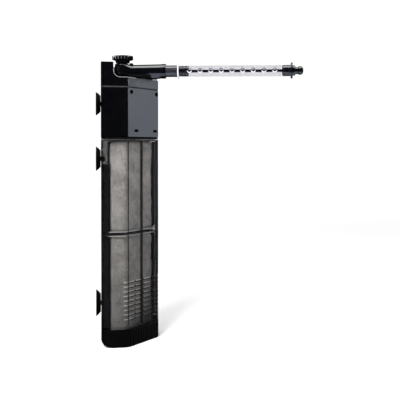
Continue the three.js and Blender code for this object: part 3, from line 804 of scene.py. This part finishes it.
def build_cover():
    """The cover: a low deck in front, and an L-shaped block along the two panes with a coved step."""
    wall, steps = 2.5 * MM, 12
    far = HALF + 5 * MM
    piece = prism("head_cover_shell", inset(0, HEAD_RADII), COVER_LOW, BLOCK_TOP)
    levels = [RIM_TOP + COVE * (1 - math.cos(math.pi / 2 * k / steps)) for k in range(steps + 1)]
    rings = []
    for z in levels + [BLOCK_TOP + 5 * MM]:
        rise = z - RIM_TOP
        pulled = COVE - math.sqrt(COVE * COVE - (COVE - rise) ** 2) if rise < COVE else 0
        radius = max(COVE - pulled, 0.3 * MM)
        x, y = -RECESS_AT + pulled, RECESS_AT - pulled
        points = [(far, y)]
        for k in range(steps + 1):
            angle = math.pi / 2 + math.pi / 2 * k / steps
            points.append((x + radius + radius * math.cos(angle), y - radius + radius * math.sin(angle)))
        points += [(x, -far), (far, -far)]
        rings.append((points, z))
    cut_with(piece, loft("recess", rings))
    ceiling = RIM_TOP - 3 * MM
    cut_with(piece, prism("cavity", inset(wall, HEAD_RADII), COVER_LOW - MM, ceiling))
    collar, gland = Matrix.Translation(SWIVEL), middle("cable_gland")
    cut_with(piece, rod(10.2 * MM, ceiling - MM, 369.9 * MM, collar), "UNION")
    cut_with(piece, rod(8.3 * MM, 350 * MM, 380 * MM, collar))
    cut_with(piece, rod(5 * MM, 380 * MM, 390 * MM, Matrix.Translation((gland.x, gland.y, 0)), 48))
    place(soften(piece, 0.5 * MM, 3, 40), "head", "head_plastic", "head_cover")
    skirt_low = low("head_cover").z + 6 * MM
    skirt = prism("cover_skirt", inset(2.9 * MM, HEAD_RADII), skirt_low, ceiling)
    cut_with(skirt, prism("inner", inset(4.8 * MM, HEAD_RADII), skirt_low - 5 * MM, ceiling + MM))
    place(soften(skirt, 0.2 * MM), "head", "head_plastic")


def add_glint_bead(name, points, radius, material):
    """A thin glossy bead of lighter colour along a moulded edge of the head, through points on its faces: a
    painted highlight in place of the edge's glint.
    """
    data = bpy.data.curves.new(name, "CURVE")
    data.dimensions = "3D"
    data.bevel_depth, data.bevel_resolution, data.use_fill_caps = radius, 2, True
    spline = data.splines.new("POLY")
    spline.points.add(len(points) - 1)
    for point, (x, y, z) in zip(spline.points, points):
        point.co = (x, y, z, 1)
    curve = bpy.data.objects.new(name + "_line", data)
    bpy.context.scene.collection.objects.link(curve)
    mesh = bpy.data.meshes.new_from_object(curve.evaluated_get(bpy.context.evaluated_depsgraph_get()))
    bpy.data.objects.remove(curve)
    piece = bpy.data.objects.new(name, mesh)
    bpy.context.scene.collection.objects.link(piece)
    place(soften(piece, 0), "head", "head_plastic", material=material)


def build_glint_beads():
    """Painted highlights: a light line where the recess meets the front face, and a dimmer light line along
    the cover's seam.
    """
    sunk, drop, reach, steps = 0.08 * MM, 0.05 * MM, 11 * MM, 12
    front, corner, deck = sunk - HALF, FACE_WIDTH - HALF, RIM_TOP - drop
    points = [(-RECESS_AT, front, BLOCK_TOP - 1.5 * MM - drop)]
    for k in range(steps + 1):
        angle = math.pi / 2 * k / steps
        x = COVE * (1 - math.cos(angle)) - RECESS_AT
        points.append((x, front, deck + COVE * (1 - math.sin(angle))))
    points += [(corner, front, deck), (corner + reach, front + reach, deck)]
    add_glint_bead("recess_bead", points, 0.25 * MM, "bright_edge")
    seam, margin = COVER_LOW - 0.1 * MM, 0.6 * MM
    points = [(margin - HALF, front, seam), (corner - margin, front, seam)]
    add_glint_bead("seam_bead", points, 0.2 * MM, "dull_edge")


def build_screws():
    for name in ("left", "right"):
        along, z = screw_place(name)
        profile = [(0, -10), (1.2, -9.2), (1.4, -1.25), (2.7, -1.2), (2.65, -1.05), (2.2, -0.75), (1.4, -0.5),
                   (0, -0.4)]
        piece = lathe(f"screw_{name}", mm(profile), 40, onto_panel(along, z))
        arm, width, deep = 1.6 * MM, 0.35 * MM, 1.1 * MM
        slots = [((-deep, -width, -arm), (0, width, arm)), ((-deep, -arm, -width), (0, arm, width))]
        turn = ON_DIAGONAL @ Matrix.Translation((PANEL_AT, along, z))
        for k, slot in enumerate(slots):
            cut_with(piece, boxes(f"recess_{k}", [slot], turn))
        place(soften(piece, 0.12 * MM), "head", "screw_steel", f"cover_screw_{name}")


def build_gland():
    profile = [(3.3, 381), (4.7, 381), (4.7, 387.5), (6.2, 387.5), (6.4, 387.8), (5.9, 388.7), (5.5, 389),
               (3.6, 389), (3.3, 388.7)]
    spot = middle("cable_gland")
    piece = lathe("gland_sleeve", mm(profile), 64, Matrix.Translation((spot.x, spot.y, 0)), ring=True)
    place(soften(piece, 0), "head", "rubber", "cable_gland")


def build_seal():
    radii = [max(a, b) for a, b in zip(HEAD_RADII, CANISTER_RADII)]
    z0, z1 = low("canister_seal").z, high("canister_seal").z
    piece = prism("seal_ring", inset(0.5 * MM, radii), z0, z1)
    cut_with(piece, prism("inner", inset(2.6 * MM, CANISTER_RADII), z0 - MM, z1 + MM))
    place(soften(piece, 0.5 * MM, 3), "canister", "rubber", "canister_seal")


# ---- outlet ----
HUB = 11.2 * MM         # the radius of the elbow's hub


def arm_section(along):
    """(half width, half height, centre height, squareness, keel depth) at a distance from the axis."""
    hub, arm = HUB, (9.1 + 0.9 * min(max(along / MM, 0), 56.5) / 56.5) * MM
    blend = min(max((along - 2 * MM) / (12 * MM), 0), 1)
    blend = blend * blend * (3 - 2 * blend)
    round_end = math.sqrt(max(hub * hub - along * along, 0)) if along < 0 else hub
    width = round_end * (1 - blend) + arm * blend
    hub_low, hub_top = 374.3 * MM, 391.2 * MM
    centre = (hub_low + hub_top) / 2 * (1 - blend) + BAR_Z * blend
    height = (hub_top - hub_low) / 2 * (1 - blend) + arm * blend
    square = 0.42 * (1 - blend) + 1.0 * blend
    keel_line = [(8, 0), (16, 0.2), (24, 0.9), (33, 2.1), (38.6, 2.6), (47, 1.6), (56.5, 0.1), (60, 0)]
    keel = 0
    for (a, ka), (b, kb) in zip(keel_line, keel_line[1:]):
        if a * MM <= along <= b * MM:
            t = (along / MM - a) / (b - a)
            keel = (ka + (kb - ka) * t * t * (3 - 2 * t)) * MM
    return width, height, centre, square, keel


def build_elbow_body():
    """The hub and its tapering arm, with a soft keel below, bored for the valve and for the water."""
    around, keel_half, end_steps = 72, 6.4 * MM, 14
    stations = [-HUB * math.cos(math.pi / 2 * k / end_steps) for k in range(end_steps)]
    stations += [k * 0.8 * MM for k in range(71)]
    bm = bmesh.new()
    rows = []
    for along in stations:
        width, height, centre, square, keel = arm_section(along)
        end = math.sqrt(max(1 - (min(along, 0) / HUB) ** 2, 0))
        row = []
        for i in range(around):
            angle = 2 * math.pi * i / around
            c, s = math.cos(angle), math.sin(angle)
            y = max(width, 0.4 * MM) * math.copysign(abs(c) ** min(1, 0.35 + 0.65 * square), c)
            z = centre + height * (0.82 + 0.18 * end) * math.copysign(abs(s) ** square, s)
            if s < 0 and abs(y) < keel_half:
                z -= keel * (1 - (abs(y) / keel_half) ** 6) ** 0.7
            row.append(bm.verts.new((along, y, z)))
        rows.append(row)
    stitch(bm, rows)
    bm.faces.new(rows[0])
    bm.faces.new(list(reversed(rows[-1])))
    bmesh.ops.transform(bm, matrix=AT_SWIVEL, verts=bm.verts)
    piece = new_object("elbow_body", bm)
    chamber = [(0, 358), (5, 358), (5, 372), (6, 372), (6, 389.3), (3.5, 389.3), (3.5, 390), (5.4, 390),
               (5.4, 393), (0, 393)]
    cut_with(piece, lathe("chamber", mm(chamber), 64, AT_SWIVEL))
    cut_with(piece, rod(5.6 * MM, 0, 60 * MM, ALONG_BAR))
    shade(piece, 50)
    place(piece, "outlet", "gloss_black", "outlet_elbow")


def build_elbow():
    build_elbow_body()
    ring = [(5.6, 56), (10.1, 56), (10.5, 56.4), (10.5, 58.2), (10.2, 58.5), (10.2, 59.1), (10.5, 59.4),
            (10.5, 61.1), (10.2, 61.5), (8, 61.5), (4.6, 61.5), (4.6, 60), (5.6, 60)]
    piece = lathe("elbow_ring", mm(ring), 72, ALONG_BAR, ring=True)
    place(soften(piece, 0), "outlet", "gloss_black")
    end = [(4.6, 61.6), (8.2, 61.6), (8.2, 78.2), (7.8, 78.6), (4.6, 78.6)]
    piece = lathe("elbow_end", mm(end), 72, ALONG_BAR, ring=True)
    place(soften(piece, 0), "outlet", "gloss_black", material="spigot_plastic")
    spigot = [(5, 359), (7.2, 359), (7.7, 359.6), (7.7, 366.6), (6.3, 366.6), (6.3, 369.4), (7.7, 369.4),
              (7.7, 376), (6, 376), (6, 372), (5, 372)]
    piece = lathe("elbow_spigot", mm(spigot), 64, AT_SWIVEL, ring=True)
    place(soften(piece, 0), "outlet", "gloss_black")
    tab = ((10 * MM, -2.5 * MM, 387 * MM), (14.9 * MM, 2.5 * MM, 391.4 * MM))
    piece = boxes("elbow_pointer", [tab], AT_SWIVEL)
    place(soften(piece, 0.8 * MM, 4), "outlet", "gloss_black")


def build_sleeve():
    profile = [(8.5, 61.8), (10.8, 61.8), (11, 62), (11, 78.9), (8.5, 78.9)]
    piece = lathe("sleeve_tube", mm(profile), 72, ALONG_BAR, ring=True)
    place(soften(piece, 0), "outlet", "clear_plastic", "bar_sleeve")
    # painted highlight: the end wall is a pale ring standing in for the bright end of the sleeve
    end_wall = [(4.6, 78.9), (11, 78.9), (11, 80.1), (10.8, 80.3), (4.6, 80.3)]
    piece = lathe("sleeve_end", mm(end_wall), 72, ALONG_BAR, ring=True)
    place(soften(piece, 0), "outlet", "clear_plastic", material="frosted_plastic")


def build_knob():
    """A dished knob with finger flutes round its rim, a skirt below and a bore for its stem; a narrow strip
    on one flank of each flute is a painted highlight.
    """
    flutes, around, flute_depth = 20, 240, 1.8 * MM
    glint_rings, glint_from, glint_to = range(6, 11), 0.08, 0.25
    skirt = [(3.4, 391.8), (9.7, 391.8), (10, 392.1), (10, 394.3), (10.6, 394.9), (13, 396)]
    rim = [(14.4, 396.2), (14.9, 396.4), (15.1, 396.8), (15.1, 400.7), (15, 401.1), (14.7, 401.45),
           (14.2, 401.6)]
    dish = [(11.8, 401.6), (11.2, 401.3), (10.6, 400.8), (5, 400.6), (0.4, 400.6)]
    bm = bmesh.new()
    rows = []
    for part, depth in ((skirt, 0), (rim, flute_depth), (dish, 0)):
        for radius, z in mm(part):
            row = []
            for i in range(around):
                angle = 2 * math.pi * i / around
                r = radius - depth * (0.5 - 0.5 * math.cos(flutes * angle)) ** 1.2
                row.append(bm.verts.new((r * math.cos(angle), r * math.sin(angle), z)))
            rows.append(row)
    stitch(bm, rows)
    bm.faces.new(rows[0])
    bm.faces.new(rows[-1])
    bmesh.ops.transform(bm, matrix=AT_SWIVEL, verts=bm.verts)
    piece = new_object("knob_body", bm)
    shade(piece, 45)
    place(piece, "knob", "gloss_black", "flow_knob")
    # painted highlight: a narrow strip on one flank of each flute gets a lighter colour, as a glint
    piece.data.materials.append(MATERIALS["worn_edge"])
    for face in piece.data.polygons:
        ring_index, i = divmod(face.index, around)
        phase = (i + 0.5) * flutes / around % 1
        if ring_index in glint_rings and glint_from < phase < glint_to:
            face.material_index = 1
    cut_with(piece, rod(3.4 * MM, 390 * MM, 398 * MM, AT_SWIVEL, 40))


# ---- spray bar ----
JETS, JET_FIRST, JET_PITCH, JET_RADIUS = 9, 95.9 * MM, 14.9 * MM, 1.9 * MM


def jet_place(k):
    """Where jet k is: its axis is the local Z, pointing out of the bar's front."""
    return (AT_SWIVEL @ Matrix.Translation((JET_FIRST + k * JET_PITCH, 0, BAR_Z))
            @ Matrix.Rotation(math.pi / 2, 4, "X"))


def build_jet_edges(k):
    """A dark half ring above jet k and a pale half ring below it, round the hole: painted shade above the
    hole and a painted highlight below it.
    """
    clear, reach, back = 0.4 * MM, 6 * MM, -16 * MM
    above = ((-reach, back, clear), (reach, 0, reach))
    below = ((-reach, back, -reach), (reach, 0, -clear))
    parts = [
        ("lip", [(2.4, 8.6), (3.3, 8.6), (3.3, 10), (2.4, 10)], below, "frosted_plastic"),
        ("brow", [(2.3, 8.6), (3.1, 8.6), (3.1, 10), (2.3, 10)], above, "gloss_black"),
    ]
    for part, profile, half, look in parts:
        arc = lathe(f"jet_{k}_{part}", mm(profile), 40, jet_place(k), ring=True)
        cut_with(arc, boxes("half", [half], Matrix.Translation(jet_place(k).translation)), "INTERSECT")
        place(soften(arc, 0), "bar", "clear_plastic", material=look)


def build_haze(start, end):
    """A thin hazed sheet inside the bar's back half, where the clear wall looks darker."""
    outer, inner, parts = 7.9 * MM, 7.8 * MM, 40
    angles = [math.radians(8 + 164 * k / parts) for k in range(parts + 1)]
    arc = [(outer * math.sin(angle), outer * math.cos(angle)) for angle in angles]
    arc += [(inner * math.sin(angle), inner * math.cos(angle)) for angle in reversed(angles)]
    bm = bmesh.new()
    rows = [[bm.verts.new((along, y, z)) for y, z in arc] for along in (start, end)]
    stitch(bm, rows)
    last = len(arc) - 1
    for row in rows:
        for i in range(parts):
            bm.faces.new((row[i], row[i + 1], row[last - 1 - i], row[last - i]))
    bmesh.ops.transform(bm, matrix=AT_SWIVEL @ Matrix.Translation((0, 0, BAR_Z)), verts=bm.verts)
    haze = new_object("bar_back_haze", bm)
    place(soften(haze, 0, angle=50), "bar", "clear_plastic", material="bar_haze")


def build_bar():
    inner, outer, start, end, edge = 8 * MM, 11 * MM, 80.8 * MM, 238 * MM, 0.3 * MM
    profile = [(inner, start), (outer - edge, start), (outer, start + edge), (outer, end - edge),
               (outer - edge, end), (inner, end)]
    piece = lathe("bar_tube", profile, 96, ALONG_BAR, ring=True)
    for k in range(JETS):
        cut_with(piece, rod(JET_RADIUS, 4 * MM, 14 * MM, jet_place(k), 32))
        build_jet_edges(k)
    place(soften(piece, 0), "bar", "clear_plastic", "spray_bar")
    build_haze(start + MM, end - 12.5 * MM)


def build_coupling():
    profile = [(3, 72), (4.3, 72), (4.3, 80.6), (6.8, 80.6), (7, 80.8), (7, 84.8), (7.5, 85.1), (7.7, 85.6),
               (7.5, 86.1), (7, 86.6), (7, 89), (7.5, 89.5), (7.7, 90), (7.5, 90.5), (7, 91), (7, 93.5),
               (6.8, 93.8), (3, 93.8)]
    piece = lathe("coupling_body", mm(profile), 64, ALONG_BAR, ring=True)
    for k in range(4):
        turn = ALONG_BAR @ Matrix.Rotation(math.radians(45 * k), 4, "Z")
        notch = boxes("notch", [((-9 * MM, -0.9 * MM, 79.5 * MM), (9 * MM, 0.9 * MM, 82.6 * MM))], turn)
        cut_with(notch, rod(5.4 * MM, 79 * MM, 84 * MM, ALONG_BAR, 32))
        cut_with(piece, notch)
    place(soften(piece, 0), "bar", "gloss_black", "bar_coupling")
    vane = ((-1.9 * MM, -0.4 * MM, 92.9 * MM), (1.9 * MM, 0.4 * MM, 225.9 * MM))
    foot = ((-1.5 * MM, -4 * MM, 92.8 * MM), (1.5 * MM, 4 * MM, 93.7 * MM))
    for name, corners in (("coupling_vane", vane), ("vane_foot", foot)):
        piece = boxes(name, [corners], ALONG_BAR)
        place(soften(piece, 0.15 * MM), "bar", "gloss_black")


def build_plug():
    profile = [(0, 226.1), (6.6, 226.1), (7.2, 226.4), (7.7, 227.5), (7.7, 238.3), (11.1, 238.3),
               (11.3, 238.5), (11.3, 240.2), (11.1, 240.4), (7.2, 240.4), (7.2, 243.7), (7, 243.9),
               (5.5, 243.9), (5.3, 244.3), (5.2, 246.9), (4.8, 247.5), (4.8, 248), (5.5, 248.6), (6, 249.8),
               (6.1, 251), (5.8, 252.5), (5, 254), (3.8, 255), (2.2, 255.4), (0, 255.5)]
    piece = lathe("plug_body", mm(profile), 72, ALONG_BAR)
    place(soften(piece, 0), "plug", "gloss_black", "end_plug")


# ---- suction cups ----
def build_cup(side, level, body):
    """One suction cup and its stem, lathed round an axis that enters its wall."""
    node = f"{side}_cup_{level}"
    lip = (high(node).z - low(node).z) / 2 / MM
    neck = lip * 0.7
    profile = [(0, 3), (4, 2.9), (9, 1.9), (lip - 3.5, 0.5), (lip - 1.8, 0.05), (lip - 0.2, 0.02), (lip, 0.3),
               (lip, 0.9), (lip - 0.7, 1.5), (neck + 2.2, 4.5), (neck + 0.3, 6), (neck, 6.3), (neck, 6.7),
               (3.2, 6.7), (3.2, 9.8), (4.5, 9.8), (4.7, 10.1), (2.4, 12.6), (0, 13)]
    if side == "left":
        spot, axis = (low(node).x, 0, middle(node).z), "Y"
    else:
        spot, axis = (0, high(node).y, middle(node).z), "X"
    turn = Matrix.Translation(spot) @ Matrix.Rotation(math.pi / 2, 4, axis)
    piece = lathe(f"{side}_{level}_sucker", mm(profile), 72, turn)
    place(soften(piece, 0, angle=50), body, "rubber", node)


def build_cups():
    for level, body in (("upper", "head"), ("middle", "canister"), ("lower", "canister")):
        for side in ("left", "back"):
            build_cup(side, level, body)


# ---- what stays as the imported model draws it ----
def dress_hidden_parts():
    slots = {part["node"]: part["material_slot"] for part in frame["record"]["subparts"]}
    for node, piece in frame["nodes"].items():
        piece.data.materials.clear()
        piece.data.materials.append(MATERIALS[slots[node]])


HEAD_SHELLS = ["head_cover_shell", "pump_housing_shell"]
HEAD_PIECES = HEAD_SHELLS + ["cover_skirt"]
SMOKE_PIECES = ["canister_shell", "base_shell"]
OUTLET_PIECES = ["elbow_", "sleeve_", "coupling_", "vane_", "plug_", "bar_tube"]

dress_hidden_parts()
build_base()
build_canister()
build_basket("lower_basket", low("upper_basket").z - 2 * MM)
build_basket("upper_basket", None)
build_wool("lower_wool")
build_wool("upper_wool")
build_seal()
build_housing()
build_cover()
build_glint_beads()
build_screws()
build_gland()
build_elbow()
build_sleeve()
build_knob()
build_bar()
build_coupling()
build_plug()
build_cups()

add_world()
add_floor()
add_camera()
SIDE_PANEL, SIDE_TARGET, SIDE_SIZE = (1.7, 0.28, 0.26), (0, 0, 0.26), (1.3, 1.9)
add_softbox("key", (-0.45, -0.8, 0.95), (0, 0, 0.2), (0.5, 0.5), 20, (1, 0.96, 0.91), sheen_only=False)
add_softbox("panel_sheen", SIDE_PANEL, SIDE_TARGET, SIDE_SIZE, 21, (0.78, 0.86, 1), HEAD_PIECES)
add_softbox("smoke_sheen", SIDE_PANEL, SIDE_TARGET, SIDE_SIZE, 4, (0.9, 0.92, 1), SMOKE_PIECES)
add_softbox("top", (0.15, -0.12, 1.15), (0.15, -0.06, 0.38), (1.3, 0.6), 20, (0.97, 0.98, 1))
GLOW_FROM, GLOW_TO = (0.19, -0.15, 0.1), (0.19, -0.15, 0.4)
add_softbox("under_glow", GLOW_FROM, GLOW_TO, (0.6, 0.4), 1.8, (0.75, 0.8, 1), OUTLET_PIECES)
add_softbox("edge_glint", (0.75, -0.25, 1.1), (0, -0.04, 0.37), (0.35, 1.5), 60, (1, 1, 1), HEAD_SHELLS)
add_softbox("knob_glint", (-0.5, -0.9, 0.8), (0, 0, 0.4), (0.3, 0.3), 22, (1, 1, 1), ["knob_body"])

scene = bpy.context.scene
scene.view_settings.view_transform = "Standard"
